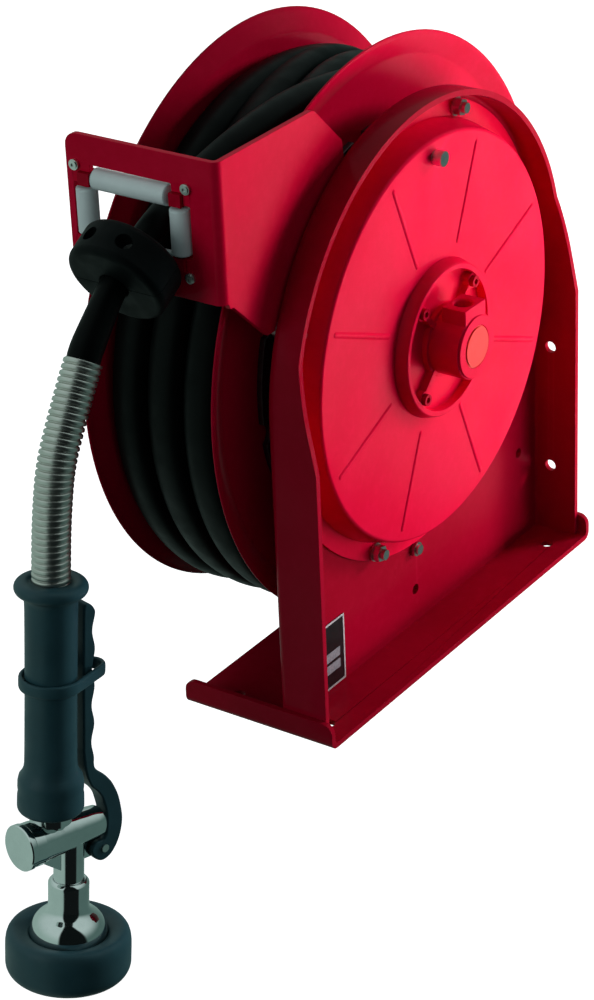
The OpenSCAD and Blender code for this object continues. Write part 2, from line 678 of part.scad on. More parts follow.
module valve_body() color("silver") wand() difference() {
  union() {
    translate([0, 0, -150]) cylinder(h = 21.5, r = 8.2);
    translate([0, 0, -135]) cylinder(h = 4, r = 11);
    // cross tube, tapering towards the lever
    cross(-16.4) cylinder(h = 6, r = 12);
    cross(-10.4 - overlap) cylinder(h = 40.4, r1 = 11.7, r2 = 8.4);
    cross(30 - overlap) cylinder(h = 1.6, r1 = 8.4, r2 = 7.2);
    translate([outlet_x, 0, -183]) cylinder(h = 38, r = 8.1);
    // web under the cross tube
    extrude_y(-3.2, 6.4) polygon([[-10.4, -148], [-10.4, -154.9], [4.2, -164.8],
      [outlet_x, -164.8], [outlet_x, -148]]);
    // lug that carries the lever's pivot
    extrude_y(-1.3, 2.6) polygon([[outlet_x, -150], [outlet_x, -164.6], [32, -164],
      [32, -156], [28.5, -151]]);
    rod_y(-1.3, 1.3, 4, lever_pivot);
  }
  translate([0, 0, cross_z]) cylinder(h = 20, r = 5.4);
  cross(-17) cylinder(h = 37, r = 6.2);
  cross(0) cylinder(h = 40, r = plunger_r + clearance);
  translate([outlet_x, 0, -190]) cylinder(h = 45, r = 4.8);
  rod_y(-5, 5, lever_pin_r + clearance, lever_pivot);
}

module valve_cap() color("silver") wand() translate([-16.4, 0, cross_z]) rotate([0, -90, 0])
  rotate_extrude() polygon([[0, -3], [6.15, -3], [6.15, 0], [12.1, 0], [12.5, 0.6],
    [12.5, 3.4], [11.9, 4], [0, 4]]);

// short compression spring behind the plunger
module valve_spring() color("silver") wand() cross(-12.4) coil_spring(14, 4.4, 0.8);

module plunger() color("silver") wand() cross(0) {
  translate([0, 0, 3]) cylinder(h = 29.6, r = plunger_r);
  translate([0, 0, 32.6 - overlap]) cylinder(h = 0.8, r = 1.9);
  translate([0, 0, 3]) cylinder(h = 2.6, r = 5.6);
}

module spray_bell() color("silver") outlet() rotate_extrude() polygon([
  [8.15, -173.2], [9.3, -173.2], [10.8, -174.9], [10.8, -188.6], [11.5, -190.8],
  [13.3, -192.9], [16.4, -195.1], [18.9, -197.9], [20.3, -201], [20.9, -204.6], [20.9, -221],
  [18.6, -221], [18.6, -205], [17.8, -201.6], [15.4, -198.2], [11.6, -195.4], [8.9, -192.6],
  [8.15, -189]]);

// rings of spray holes: [count, ring radius]
spray_rings = [[6, 5], [12, 10.5], [18, 16]];

module spray_face() color("silver") outlet() difference() {
  translate([0, 0, -226.6]) cylinder(h = 3, r = 24.8);
  for (row = spray_rings, i = [0 : row[0] - 1])
    rotate(360 * i / row[0]) translate([row[1], 0, -228]) cylinder(h = 6, r = 0.9, $fn = 16);
}

module bumper() color("darkslategray") outlet() rotate_extrude() polygon(join([
  [[20.95, -206.6], [22.3, -204.9], [25.2, -202.3], [28.2, -201.1], [30.9, -202.1],
   [32.6, -204.8], [bumper_r, -208.6]],
  arc(bumper_r - 8, -221.2, 8, 0, -90), [[24.9, -229.2], [24.9, -222.9], [20.95, -222.9]]]));

module lever_pin() color("silver") wand() {
  rod_y(-5.2, 5.2, lever_pin_r, lever_pivot);
  rod_y(-5.8, -5, 2.2, lever_pivot);
}

// side outline of the lever as [x, z]; its outer edge is wavy
lever_outline = concat(
  [[18.6, -16.7], [20.9, -17.2], [23.2, -19]],
  [for (i = [0 : 29]) let (z = -21 - 3 * i) [24 + 0.9 * cos((z + 22) * 360 / 21), z]],
  [[25.2, -111.3], [27.7, -113.8], [31, -116.3], [34.3, -119.7], [37.2, -123.7], [41.2, -131.9],
   [43.6, -141.5], [44, -147], [42.8, -154.3], [40.6, -160.2], [36.9, -164.8], [32.9, -167],
   [29.5, -166.9], [26.2, -164.7], [23.9, -161.6], [23.4, -159], [24.6, -156.6], [27.4, -155.2],
   [31, -154.8], [33, -152.4], [33.6, -146], [33.2, -139.5], [31.7, -134], [30, -129.5],
   [27, -125.4], [23.6, -122], [21.3, -117.5], [19.9, -113], [19, -109], [17.9, -100],
   [17.3, -60], [17.2, -22], [17.4, -18]]);

module lever() color("darkslategray") wand() difference() {
  extrude_y(-4.9, 9.8) polygon(lever_outline);
  // slot for the valve body's lug
  translate([20, -1.6, -170]) cube([16.8, 3.2, 16.4]);
  rod_y(-10, 10, lever_pin_r + clearance, lever_pivot);
}

// flat loop round the grip and the lever
module hold_ring() color("darkslategray") wand() translate([0, 0, -58.8]) {
  lever_side_x = 25.6;
  linear_extrude(6.6) difference() {
    polygon(concat(arc(0, 0, 16.8, 66, 294, 14), arc(lever_side_x, 0, 7.2, -66, 66)));
    polygon(concat(arc(0, 0, 14.2, 68, 292, 14), arc(lever_side_x, 0, 5.6, -64, 64)));
  }
}

base_tray();
side_frame();
guide_bracket();
roller_brackets();
roller_pins();
guide_screws();
spring_case();
case_bolts();
spring_anchor_pin();
power_spring();
hub_casting();
hub_screws();
swivel_plug();
frame_bushing();
hub_bushing();
label_plate();
pawl_pin();
pawl_spring();
hose_tail();
hose_stop_upper();
hose_stop_lower();
stop_screws();
main_shaft();
shaft_nut();
shaft_seals();
shaft_spacer();
spring_arbor();
drum_flange_near();
drum_flange_far();
drum_core();
drum_tie_bolts();
ratchet_ring();
outlet_elbow();
wound_hose();
latch_pawl();
roller_top();
roller_bottom();
roller_left();
roller_right();
free_hose();
armoured_hose();
hose_ferrule();
handle_tube();
grip();
valve_body();
valve_cap();
valve_spring();
spray_bell();
spray_face();
bumper();
lever_pin();
lever();
plunger();
hold_ring();
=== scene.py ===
"""A hose reel with a hanging spray wand.

The drum turns about X. The hose leaves over the top of the drum, passes a rubber stop on the -Y
side and hangs down to the wand. The wand has its own frame: its top is the origin, the handle
runs down -Z and the squeeze lever lies on +X.
Lengths are in millimetres, turned into metres by MM, unless a comment says otherwise.
"""
import bpy, bmesh, math
import numpy as np
from mathutils import Vector, Matrix


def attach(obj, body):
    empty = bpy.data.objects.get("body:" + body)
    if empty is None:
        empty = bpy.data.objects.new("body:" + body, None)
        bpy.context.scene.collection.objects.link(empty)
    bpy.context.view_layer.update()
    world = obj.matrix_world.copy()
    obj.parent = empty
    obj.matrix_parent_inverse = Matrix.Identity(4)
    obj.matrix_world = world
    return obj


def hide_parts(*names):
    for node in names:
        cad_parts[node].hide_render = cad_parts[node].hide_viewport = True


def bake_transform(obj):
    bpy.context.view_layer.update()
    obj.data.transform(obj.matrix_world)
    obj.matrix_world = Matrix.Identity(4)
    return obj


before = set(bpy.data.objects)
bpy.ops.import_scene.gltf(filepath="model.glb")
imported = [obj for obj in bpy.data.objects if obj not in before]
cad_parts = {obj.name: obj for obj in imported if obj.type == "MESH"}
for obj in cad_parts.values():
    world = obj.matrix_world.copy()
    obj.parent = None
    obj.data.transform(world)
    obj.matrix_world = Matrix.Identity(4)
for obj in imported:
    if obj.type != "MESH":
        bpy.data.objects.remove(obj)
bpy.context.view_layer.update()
scene = bpy.context.scene
scene.view_settings.view_transform = "Standard"

MM = 0.001


def mm(x, y, z):
    return Vector((x, y, z)) * MM


def shift(x, y, z):
    return Matrix.Translation(mm(x, y, z))


def turn(degrees, axis):
    return Matrix.Rotation(math.radians(degrees), 4, axis)


def clamp(value):
    return max(0.0, min(1.0, value))


# ------------------------------------------------------------------ driving places
HOSE_X = -31  # plane in which the hose hangs
STOP_RISE = 30  # degrees the stop's axis climbs towards +Y
STOP_AT = mm(HOSE_X, -189.1, 284.8)
STOP_AXIS = Vector((0, math.cos(math.radians(STOP_RISE)), math.sin(math.radians(STOP_RISE))))
WAND_AT = mm(HOSE_X, -265.37, 144.5)
WAND_TILT = 7.2  # degrees off the vertical, top leaning towards +Y
WAND_TURN = 76  # degrees about its own length
WAND = Matrix.Translation(WAND_AT) @ turn(-WAND_TILT, "X") @ turn(WAND_TURN, "Z")
HEAD = WAND @ shift(12, 0, 0)  # axis of the spray head, beside the handle's axis


# ------------------------------------------------------------------ shader tools
def srgb(*levels):
    """Linear colour from 8-bit sRGB levels."""
    scaled = [level / 255.0 for level in levels]
    return tuple(c / 12.92 if c <= 0.04045 else ((c + 0.055) / 1.055) ** 2.4 for c in scaled)


class Nodes:
    """Builds a shader tree. A value may be a socket or a constant; colours are (r, g, b)."""

    def __init__(self, tree):
        self.tree = tree
        tree.nodes.clear()

    def add(self, kind, **settings):
        node = self.tree.nodes.new("ShaderNode" + kind)
        for key, value in settings.items():
            setattr(node, key, value)
        return node

    def feed(self, value, socket):
        if hasattr(value, "is_linked"):
            self.tree.links.new(value, socket)
        else:
            socket.default_value = value

    def remap(self, source, to, span=(0.0, 1.0), smooth=False):
        """Map the source's span onto the range `to`."""
        node = self.add("MapRange")
        if smooth:
            node.interpolation_type = "SMOOTHSTEP"
        node.inputs["From Min"].default_value, node.inputs["From Max"].default_value = span
        node.inputs["To Min"].default_value, node.inputs["To Max"].default_value = to
        self.feed(source, node.inputs["Value"])
        return node.outputs[0]

    def mix(self, factor, first, second):
        node = self.add("Mix", data_type="RGBA")
        self.feed(factor, node.inputs[0])
        for colour, socket in ((first, node.inputs[6]), (second, node.inputs[7])):
            self.feed((*colour, 1.0) if isinstance(colour, tuple) else colour, socket)
        return node.outputs[2]

    def math(self, operation, first, second):
        node = self.add("Math", operation=operation)
        self.feed(first, node.inputs[0])
        self.feed(second, node.inputs[1])
        return node.outputs[0]


class Material(Nodes):
    """A Principled material textured in object space."""

    def __init__(self, name):
        self.material = bpy.data.materials.new(name)
        self.material.use_nodes = True
        super().__init__(self.material.node_tree)
        output = self.add("OutputMaterial")
        self.principled = self.add("BsdfPrincipled")
        self.feed(self.principled.outputs[0], output.inputs[0])
        self.place = self.add("TexCoord").outputs["Object"]

    def noise(self, scale, detail=3.0, rough=0.5, stretch=None):
        node = self.add("TexNoise")
        node.inputs["Scale"].default_value = scale
        node.inputs["Detail"].default_value = detail
        node.inputs["Roughness"].default_value = rough
        place = self.place
        if stretch:
            mapping = self.add("Mapping")
            mapping.inputs["Scale"].default_value = stretch
            self.feed(place, mapping.inputs[0])
            place = mapping.outputs[0]
        self.feed(place, node.inputs["Vector"])
        return node.outputs[0]

    def bump(self, height, strength, distance, under=None):
        """Bump of a height in metres, laid over the normal `under`."""
        node = self.add("Bump")
        node.inputs["Strength"].default_value = strength
        node.inputs["Distance"].default_value = distance
        self.feed(height, node.inputs["Height"])
        if under is not None:
            self.feed(under, node.inputs["Normal"])
        return node.outputs[0]

    def edges(self, span, amount):
        """Mask of convex edges, for painted edge highlights: pointiness over a span, scaled by an
        amount.
        """
        pointiness = self.add("NewGeometry").outputs["Pointiness"]
        return self.math("MULTIPLY", self.remap(pointiness, (0.0, 1.0), span), amount)

    def shade(self, inputs):
        for name, value in inputs.items():
            self.feed(value, self.principled.inputs[name])
        return self.material


# ------------------------------------------------------------------ kinds of material
def paint(name, base, deep, bright):
    """Glossy powder coat: orange peel, slow tone drift, a painted highlight of brighter red along
    convex edges, and rare dust specks.
    """
    mat = Material(name)
    drift = mat.noise(scale=9, detail=2)
    mottle = mat.noise(scale=170, detail=4, rough=0.6)
    colour = mat.mix(mat.remap(drift, (0.0, 1.0), span=(0.3, 0.7)), deep, base)
    colour = mat.mix(mat.remap(mottle, (0.0, 0.22), span=(0.45, 0.75)), colour, bright)
    # painted highlight: brighter red along convex edges
    colour = mat.mix(mat.edges(span=(0.53, 0.62), amount=0.35), colour, bright)
    dust = mat.remap(mat.noise(scale=1500, detail=1), (0.0, 0.25), span=(0.74, 0.80))
    colour = mat.mix(dust, colour, (0.66, 0.05, 0.10))
    peel = mat.noise(scale=520, detail=2, rough=0.45)
    ripple = mat.noise(scale=60, detail=1, rough=0.4)
    normal = mat.bump(ripple, strength=0.05, distance=0.0018)
    normal = mat.bump(peel, strength=0.10, distance=0.00022, under=normal)
    return mat.shade({
        "Base Color": colour,
        "Roughness": mat.remap(mat.noise(scale=28), (0.16, 0.27), span=(0.35, 0.7)),
        "Normal": normal,
        "Specular IOR Level": 0.045,
        "Coat Weight": 0.03,
        "Coat Roughness": 0.06,
        "IOR": 1.45,
    })


def rubber(name, base, light, rough=(0.45, 0.62), grain=900, relief=0.16, chalk=0.12, specular=0.5):
    """Moulded rubber: fine mottled grain with chalky patches, and a painted highlight of the lighter
    tone along convex edges.
    """
    mat = Material(name)
    mottle = mat.noise(scale=45, detail=4, rough=0.6)
    fine = mat.noise(scale=grain, rough=0.55)
    colour = mat.mix(mat.remap(mottle, (0.0, 0.55), span=(0.35, 0.75)), base, light)
    # painted highlight: the lighter tone along convex edges
    colour = mat.mix(mat.edges(span=(0.52, 0.62), amount=0.5), colour, light)
    patches = mat.noise(scale=260, detail=5, rough=0.7)
    patches = mat.remap(patches, (0.0, chalk), span=(0.55, 0.8))
    colour = mat.mix(patches, colour, tuple(c * 1.9 + 0.02 for c in light))
    normal = mat.bump(fine, strength=relief, distance=0.00025)
    normal = mat.bump(mottle, strength=0.05, distance=0.0008, under=normal)
    return mat.shade({
        "Base Color": colour,
        "Roughness": mat.remap(mat.noise(scale=80), rough, span=(0.35, 0.7)),
        "Normal": normal,
        "Specular IOR Level": specular,
    })


def metal(name, base, dark, rough, scale, stretch=(1, 1, 1), relief=0.06):
    """Bare metal: grain that can be drawn out along an axis, and slow darker clouds."""
    mat = Material(name)
    grain = mat.noise(scale=scale, detail=4, rough=0.6, stretch=stretch)
    clouds = mat.noise(scale=30)
    colour = mat.mix(mat.remap(grain, (0.0, 0.5), span=(0.35, 0.75)), base, dark)
    colour = mat.mix(mat.remap(clouds, (0.0, 0.25), span=(0.45, 0.75)), colour, dark)
    roughness = mat.math("ADD", mat.remap(grain, rough, span=(0.3, 0.7)),
                         mat.remap(clouds, (-0.03, 0.05), span=(0.3, 0.7)))
    return mat.shade({
        "Base Color": colour,
        "Metallic": 1.0,
        "Roughness": roughness,
        "Normal": mat.bump(grain, strength=relief, distance=0.0001),
    })


def plastic(name, base, shade, rough=(0.32, 0.5)):
    """Moulded plastic: soft mottling and scuffs drawn out along Y."""
    mat = Material(name)
    mottle = mat.noise(scale=70, detail=4, rough=0.6)
    colour = mat.mix(mat.remap(mottle, (0.0, 0.6), span=(0.35, 0.75)), base, shade)
    scuffs = mat.noise(scale=500, rough=0.7, stretch=(1, 0.15, 1))
    colour = mat.mix(mat.remap(scuffs, (0.0, 0.25), span=(0.6, 0.78)), colour, shade)
    return mat.shade({
        "Base Color": colour,
        "Roughness": mat.remap(mat.noise(scale=120), rough, span=(0.35, 0.7)),
        "Normal": mat.bump(mat.noise(scale=1100, detail=2), strength=0.08, distance=0.0001),
    })


def label_ink():
    """Black plate with worn pale ink on what is raised: a bright border, dimmer blocks inside."""
    raised_x = 0.0156 + 0.00042  # metres: plate face plus part of the relief
    inner_y, inner_z = (-0.1188, -0.0792), (0.0068, 0.0434)  # metres: the area inside the border
    mat = Material("label_ink")
    axes = mat.add("SeparateXYZ")
    mat.feed(mat.place, axes.inputs[0])
    x, y, z = axes.outputs
    raised = mat.math("GREATER_THAN", x, raised_x)

    def inside(value, limits):
        return mat.math("MULTIPLY", mat.math("GREATER_THAN", value, limits[0]),
                        mat.math("LESS_THAN", value, limits[1]))

    inner = mat.math("MULTIPLY", inside(y, inner_y), inside(z, inner_z))
    blocks = mat.math("MULTIPLY", raised, inner)
    border = mat.math("MULTIPLY", raised, mat.math("SUBTRACT", 1.0, inner))
    wear = mat.noise(scale=700, detail=4, rough=0.7)
    wear = mat.remap(wear, (0.65, 1.0), span=(0.35, 0.6))
    tone = mat.remap(mat.noise(scale=200), (0.0, 1.0), span=(0.3, 0.8))
    colour = mat.mix(tone, (0.006, 0.006, 0.007), (0.016, 0.016, 0.018))
    colour = mat.mix(mat.math("MULTIPLY", border, wear), colour, (0.62, 0.62, 0.62))
    colour = mat.mix(mat.math("MULTIPLY", blocks, wear), colour, (0.30, 0.31, 0.33))
    return mat.shade({
        "Base Color": colour,
        "Roughness": mat.remap(mat.noise(scale=300), (0.28, 0.42)),
        "Normal": mat.bump(mat.noise(scale=900, detail=2), strength=0.06, distance=0.0001),
    })


# ------------------------------------------------------------------ materials
# RED is the powder coat; the copies below are the same paint brightened or darkened as painted light
# and shade
RED = paint("powder_red", base=(0.60, 0.0020, 0.034), deep=(0.50, 0.0012, 0.024),
            bright=(0.70, 0.008, 0.058))
# the same red powder coat brightened: painted light on the spring case and hub casting
RED_LIT_CASE = paint("powder_red_lit_case", base=(0.79, 0.0030, 0.046), deep=(0.66, 0.0020, 0.030),
                 bright=(0.90, 0.009, 0.075))
# the same red powder coat darkened: painted shade on the base tray and side frame
RED_SHADED_FRAME = paint("powder_red_shaded_frame", base=(0.37, 0.0015, 0.019), deep=(0.30, 0.0010, 0.013),
                  bright=(0.47, 0.006, 0.034))
# the same red powder coat brightened: painted light on the guide bracket
RED_LIT_GUIDE = paint("powder_red_lit_guide", base=(0.68, 0.0022, 0.036), deep=(0.57, 0.0014, 0.026),
                  bright=(0.80, 0.009, 0.062))
# the same red powder coat darkened: painted shade on the far drum flange
RED_SHADED_FAR = paint("powder_red_shaded_far", base=(0.36, 0.0015, 0.021), deep=(0.29, 0.0010, 0.015),
                bright=(0.47, 0.005, 0.034))
# the same red powder coat darkened: painted shade on the roller brackets and hub screws
RED_SHADED_TABS = paint("powder_red_shaded_tabs", base=(0.46, 0.002, 0.022), deep=(0.34, 0.001, 0.014),
                 bright=(0.57, 0.008, 0.036))
ZINC = metal("zinc", base=(0.78, 0.80, 0.78), dark=(0.58, 0.60, 0.58), rough=(0.26, 0.42),
             scale=500)
STEEL_DARK = metal("dark_steel", base=(0.16, 0.16, 0.17), dark=(0.07, 0.07, 0.075),
                   rough=(0.3, 0.45), scale=350)
SPRING = metal("spring_steel", base=(0.30, 0.31, 0.34), dark=(0.17, 0.18, 0.21),
               rough=(0.22, 0.32), scale=350, stretch=(8, 1, 1))
BRASS = metal("brass", base=(0.72, 0.52, 0.24), dark=(0.50, 0.34, 0.14), rough=(0.2, 0.33),
              scale=250)
CHROME = metal("chrome", base=(0.80, 0.82, 0.82), dark=(0.66, 0.69, 0.69), rough=(0.035, 0.085),
               scale=130, relief=0.01)
SHAFT = metal("ground_steel", base=(0.60, 0.60, 0.60), dark=(0.42, 0.42, 0.42), rough=(0.2, 0.3),
              scale=300, stretch=(6, 1, 1))
ARMOUR = metal("armour_steel", base=(0.70, 0.68, 0.65), dark=(0.52, 0.50, 0.47),
               rough=(0.30, 0.38), scale=220, stretch=(1, 1, 3), relief=0.015)
HOSE = rubber("hose_rubber", base=(0.0007, 0.0011, 0.0011), light=(0.0018, 0.0028, 0.0028),
              rough=(0.40, 0.54), grain=700, relief=0.10, chalk=0.008, specular=0.08)
STOP = rubber("stop_rubber", base=(0.0010, 0.0018, 0.0020), light=(0.0026, 0.0042, 0.0046),
              rough=(0.5, 0.66), grain=800, chalk=0.012, specular=0.09)
GRIP = rubber("grip_rubber", base=(0.0150, 0.0520, 0.0640), light=(0.0250, 0.080, 0.097),
              rough=(0.40, 0.54), relief=0.08, chalk=0.04, specular=0.38)
SEAL = rubber("seal_rubber", base=(0.01, 0.01, 0.01), light=(0.02, 0.02, 0.02))
ROLLER = plastic("roller_plastic", base=srgb(232, 248, 247), shade=srgb(212, 230, 229),
                 rough=(0.3, 0.45))
ORANGE = plastic("orange_plastic", base=srgb(232, 40, 30), shade=srgb(206, 28, 20),
                 rough=(0.28, 0.42))
FACE = plastic("face_plastic", base=(0.02, 0.024, 0.026), shade=(0.04, 0.045, 0.05))
LABEL = label_ink()


# ------------------------------------------------------------------ mesh tools
def set_smooth(mesh, smooth=True):
    mesh.polygons.foreach_set("use_smooth", [smooth] * len(mesh.polygons))


def make_object(name, verts, faces, material, smooth=True):
    mesh = bpy.data.meshes.new(name)
    mesh.from_pydata([tuple(v) for v in verts], [], faces)
    mesh.validate()
    obj = bpy.data.objects.new(name, mesh)
    scene.collection.objects.link(obj)
    mesh.materials.append(material)
    if smooth:
        set_smooth(mesh)
    bm = bmesh.new()
    bm.from_mesh(mesh)
    bmesh.ops.recalc_face_normals(bm, faces=bm.faces)
    bm.to_mesh(mesh)
    bm.free()
    mesh.update()
    return obj


def tube_faces(rings, sides, closed=False):
    """Quads between rings of vertices; an open tube gets end caps."""
    faces = []
    for i in range(rings if closed else rings - 1):
        j = (i + 1) % rings
        for q in range(sides):
            r = (q + 1) % sides
            faces.append((i * sides + q, i * sides + r, j * sides + r, j * sides + q))
    if not closed:
        faces.append(tuple(range(sides)))
        faces.append(tuple((rings - 1) * sides + q for q in range(sides)))
    return faces


def sweep(name, path, section, material):
    """Sweep section(index, arc length), a ring of (across, along the third axis) offsets.

    The section's frame starts with its first axis on X and is carried along without twist.
    """
    last = len(path) - 1
    across = Vector((1, 0, 0))
    run = 0.0
    verts = []
    for i, point in enumerate(path):
        tangent = (path[min(i + 1, last)] - path[max(i - 1, 0)]).normalized()
        across = (across - tangent * across.dot(tangent)).normalized()
        third = tangent.cross(across)
        if i:
            run += (point - path[i - 1]).length
        ring = section(i, run)
        verts += [point + across * a + third * b for a, b in ring]
    return make_object(name, verts, tube_faces(len(path), len(ring)), material)


def ellipse(half_width, half_height, count):
    angles = [2 * math.pi * q / count for q in range(count)]
    return [(half_width * math.cos(a), half_height * math.sin(a)) for a in angles]


def squared_ellipse(half_width, half_height, powers, count):
    """Ellipse whose powers below 1 square it off."""
    def fuller(value, power):
        return math.copysign(abs(value) ** power, value)

    return [(half_width * fuller(c, powers[0]) * MM, half_height * fuller(s, powers[1]) * MM)
            for c, s in ellipse(1, 1, count)]


def lathe(name, outline, material, matrix=Matrix.Identity(4), sides=96, closed=True):
    """Revolve an (r, z) outline in metres about Z; an open one starts and ends on the axis."""
    verts, faces, rings = [], [], []
    for radius, z in outline:
        if radius < 1e-9:
            rings.append([len(verts)] * sides)
            verts.append(matrix @ Vector((0, 0, z)))
        else:
            rings.append(list(range(len(verts), len(verts) + sides)))
            verts += [matrix @ Vector((x, y, z)) for x, y in ellipse(radius, radius, sides)]
    count = len(outline)
    for i in range(count if closed else count - 1):
        lower, upper = rings[i], rings[(i + 1) % count]
        for q in range(sides):
            r = (q + 1) % sides
            # a dict drops the corner that repeats at a pole
            face = tuple(dict.fromkeys((lower[q], lower[r], upper[r], upper[q])))
            if len(face) > 2:
                faces.append(face)
    return make_object(name, verts, faces, material)


def arc(cx, cy, radius, start, end, steps=8):
    """Points on an arc, angles in degrees."""
    angles = [math.radians(start + (end - start) * i / steps) for i in range(steps + 1)]
    return [(cx + radius * math.cos(a), cy + radius * math.sin(a)) for a in angles]


def lathe_outline(points, step):
    """Drop repeated points, go to metres and split long runs so that shading stays even."""
    kept = []
    for p in points:
        if not kept or abs(p[0] - kept[-1][0]) + abs(p[1] - kept[-1][1]) > 1e-6:
            kept.append(p)
    kept = [(r * MM, z * MM) for r, z in kept]
    result = []
    for a, b in zip(kept, kept[1:]):
        count = max(1, int(math.hypot(b[0] - a[0], b[1] - a[1]) / (step * MM)))
        result += [(a[0] + (b[0] - a[0]) * i / count, a[1] + (b[1] - a[1]) * i / count)
                   for i in range(count)]
    return result + [kept[-1]]


def catmull(points, steps):
    """Catmull-Rom curve through the points."""
    points = [Vector(p) for p in points]
    padded = [points[0] * 2 - points[1]] + points + [points[-1] * 2 - points[-2]]
    curve = []
    for p0, p1, p2, p3 in zip(padded, padded[1:], padded[2:], padded[3:]):
        for i in range(steps):
            t = i / steps
            curve.append(0.5 * ((2 * p1) + (p2 - p0) * t + (2 * p0 - 5 * p1 + 4 * p2 - p3) * t * t
                                + (3 * p1 - p0 - 3 * p2 + p3) * t ** 3))
    curve.append(points[-1])
    return curve


def resample(points, step):
    """Even spacing along a polyline, as near to the step as fits."""
    runs = [0.0]
    for a, b in zip(points, points[1:]):
        runs.append(runs[-1] + (b - a).length)
    count = max(2, int(round(runs[-1] / step)))
    result, j = [], 0
    for i in range(count + 1):
        target = runs[-1] * i / count
        while j < len(runs) - 2 and runs[j + 1] < target:
            j += 1
        part = (target - runs[j]) / max(runs[j + 1] - runs[j], 1e-12)
        result.append(points[j].lerp(points[j + 1], clamp(part)))
    return result


def bevel(obj, width, segments, angle=35):
    """Weld, round the edges sharper than an angle in degrees, and weight the normals."""
    obj.modifiers.new("weld", "WELD").merge_threshold = 1e-6
    rounding = obj.modifiers.new("bevel", "BEVEL")
    rounding.width = width * MM
    rounding.segments = segments
    rounding.limit_method = "ANGLE"
    rounding.angle_limit = math.radians(angle)
    rounding.harden_normals = True
    rounding.use_clamp_overlap = True
    rounding.miter_outer = "MITER_ARC"
    obj.modifiers.new("wn", "WEIGHTED_NORMAL")


def cut_away(obj, cutter):
    boolean = obj.modifiers.new("cut", "BOOLEAN")
    boolean.operation = "DIFFERENCE"
    boolean.solver = "EXACT"
    boolean.object = cutter
    bpy.context.view_layer.objects.active = obj
    bpy.ops.object.modifier_apply(modifier="cut")
    bpy.data.objects.remove(cutter)


def put(obj, body, slot, *nodes):
    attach(obj, body)
    if nodes:
        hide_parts(*nodes)


# ------------------------------------------------------------------ CAD pieces that stay
# node: material, edge rounding (0 leaves it flat-shaded), slot
KEPT = {
    "base_tray": (RED_SHADED_FRAME, 0.7, "red_paint"), "side_frame": (RED_SHADED_FRAME, 0.7, "red_paint"),
    "guide_bracket": (RED_LIT_GUIDE, 0.6, "red_paint"), "spring_case": (RED_LIT_CASE, 0.5, "red_paint"),
    "hub_casting": (RED_LIT_CASE, 0.7, "red_paint"), "drum_flange_near": (RED, 0.25, "red_paint"),
    "drum_flange_far": (RED_SHADED_FAR, 0.25, "red_paint"), "drum_core": (RED, 0.3, "red_paint"),
    "hub_screws": (RED_SHADED_TABS, 0.3, "red_paint"), "roller_brackets": (RED_SHADED_TABS, 0.6, "red_paint"),
    "roller_pins": (ZINC, 0.2, "zinc"), "guide_screws": (ZINC, 0.5, "zinc"),
    "case_bolts": (ZINC, 0.4, "zinc"), "spring_anchor_pin": (ZINC, 0.7, "zinc"),
    "power_spring": (SPRING, 0.0, "dark_steel"), "swivel_plug": (ORANGE, 0.4, "orange_plastic"),
    "frame_bushing": (BRASS, 0.3, "brass"), "hub_bushing": (BRASS, 0.3, "brass"),
    "label_plate": (LABEL, 0.0, "label_black"), "pawl_pin": (ZINC, 0.3, "zinc"),
    "stop_screws": (ZINC, 0.35, "zinc"), "main_shaft": (SHAFT, 0.4, "zinc"),
    "shaft_nut": (ZINC, 0.4, "zinc"), "shaft_seals": (SEAL, 0.0, "seal_rubber"),
    "shaft_spacer": (ZINC, 0.3, "zinc"), "spring_arbor": (STEEL_DARK, 0.3, "dark_steel"),
    "drum_tie_bolts": (ZINC, 0.4, "zinc"), "ratchet_ring": (STEEL_DARK, 0.3, "dark_steel"),
    "outlet_elbow": (BRASS, 0.4, "brass"), "latch_pawl": (STEEL_DARK, 0.3, "dark_steel"),
    "roller_top": (ROLLER, 0.5, "roller_plastic"),
    "roller_bottom": (ROLLER, 0.5, "roller_plastic"),
    "roller_left": (ROLLER, 0.5, "roller_plastic"),
    "roller_right": (ROLLER, 0.5, "roller_plastic"),
    "valve_body": (CHROME, 0.5, "chrome"), "valve_cap": (CHROME, 0.3, "chrome"),
    "plunger": (CHROME, 0.2, "chrome"), "spray_face": (FACE, 0.2, "face_plastic"),
    "lever_pin": (ZINC, 0.3, "zinc"), "handle_tube": (ARMOUR, 0.2, "armour_steel"),
}


def finish_kept():
    for node, (material, rounding, slot) in KEPT.items():
        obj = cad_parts[node]
        mesh = obj.data
        mesh.materials.clear()
        mesh.materials.append(material)
        mesh.polygons.foreach_set("material_index", [0] * len(mesh.polygons))
        set_smooth(mesh, rounding > 0)
        normals = mesh.attributes.get("custom_normal")
        if normals is not None:
            mesh.attributes.remove(normals)
        if rounding:
            bevel(obj, rounding, segments=3 if rounding >= 0.5 else 2)


finish_kept()

# ------------------------------------------------------------------ hanging hose
HANG_START = 16  # height above the wand's origin where the arcs begin
HANG_ARCS = ((34.2, 6.6), (22.4, 15.9), (40.4, 4.5))  # length, turn towards +Y in degrees


def hang_point(y, z):
    return Vector((HOSE_X * MM, y * MM, z * MM))


def heading(degrees):
    """Direction at an angle from straight up towards +Y."""
    return Vector((0, math.sin(math.radians(degrees)), math.cos(math.radians(degrees))))


def hanging_line():
    """Centre line from the wand upwards, and its direction at the upper end."""
    tilt = math.radians(WAND_TILT)
    point = Vector((WAND_AT.y / MM + HANG_START * math.sin(tilt),
                    WAND_AT.z / MM + HANG_START * math.cos(tilt)))
    angle = WAND_TILT
    points = [hang_point(*point)]
    steps = 12
    for length, bend in HANG_ARCS:
        for _ in range(steps):
            middle = math.radians(angle + bend / steps / 2)
            point = point + Vector((math.sin(middle), math.cos(middle))) * length / steps
            angle += bend / steps
            points.append(hang_point(*point))
    return points, heading(angle)


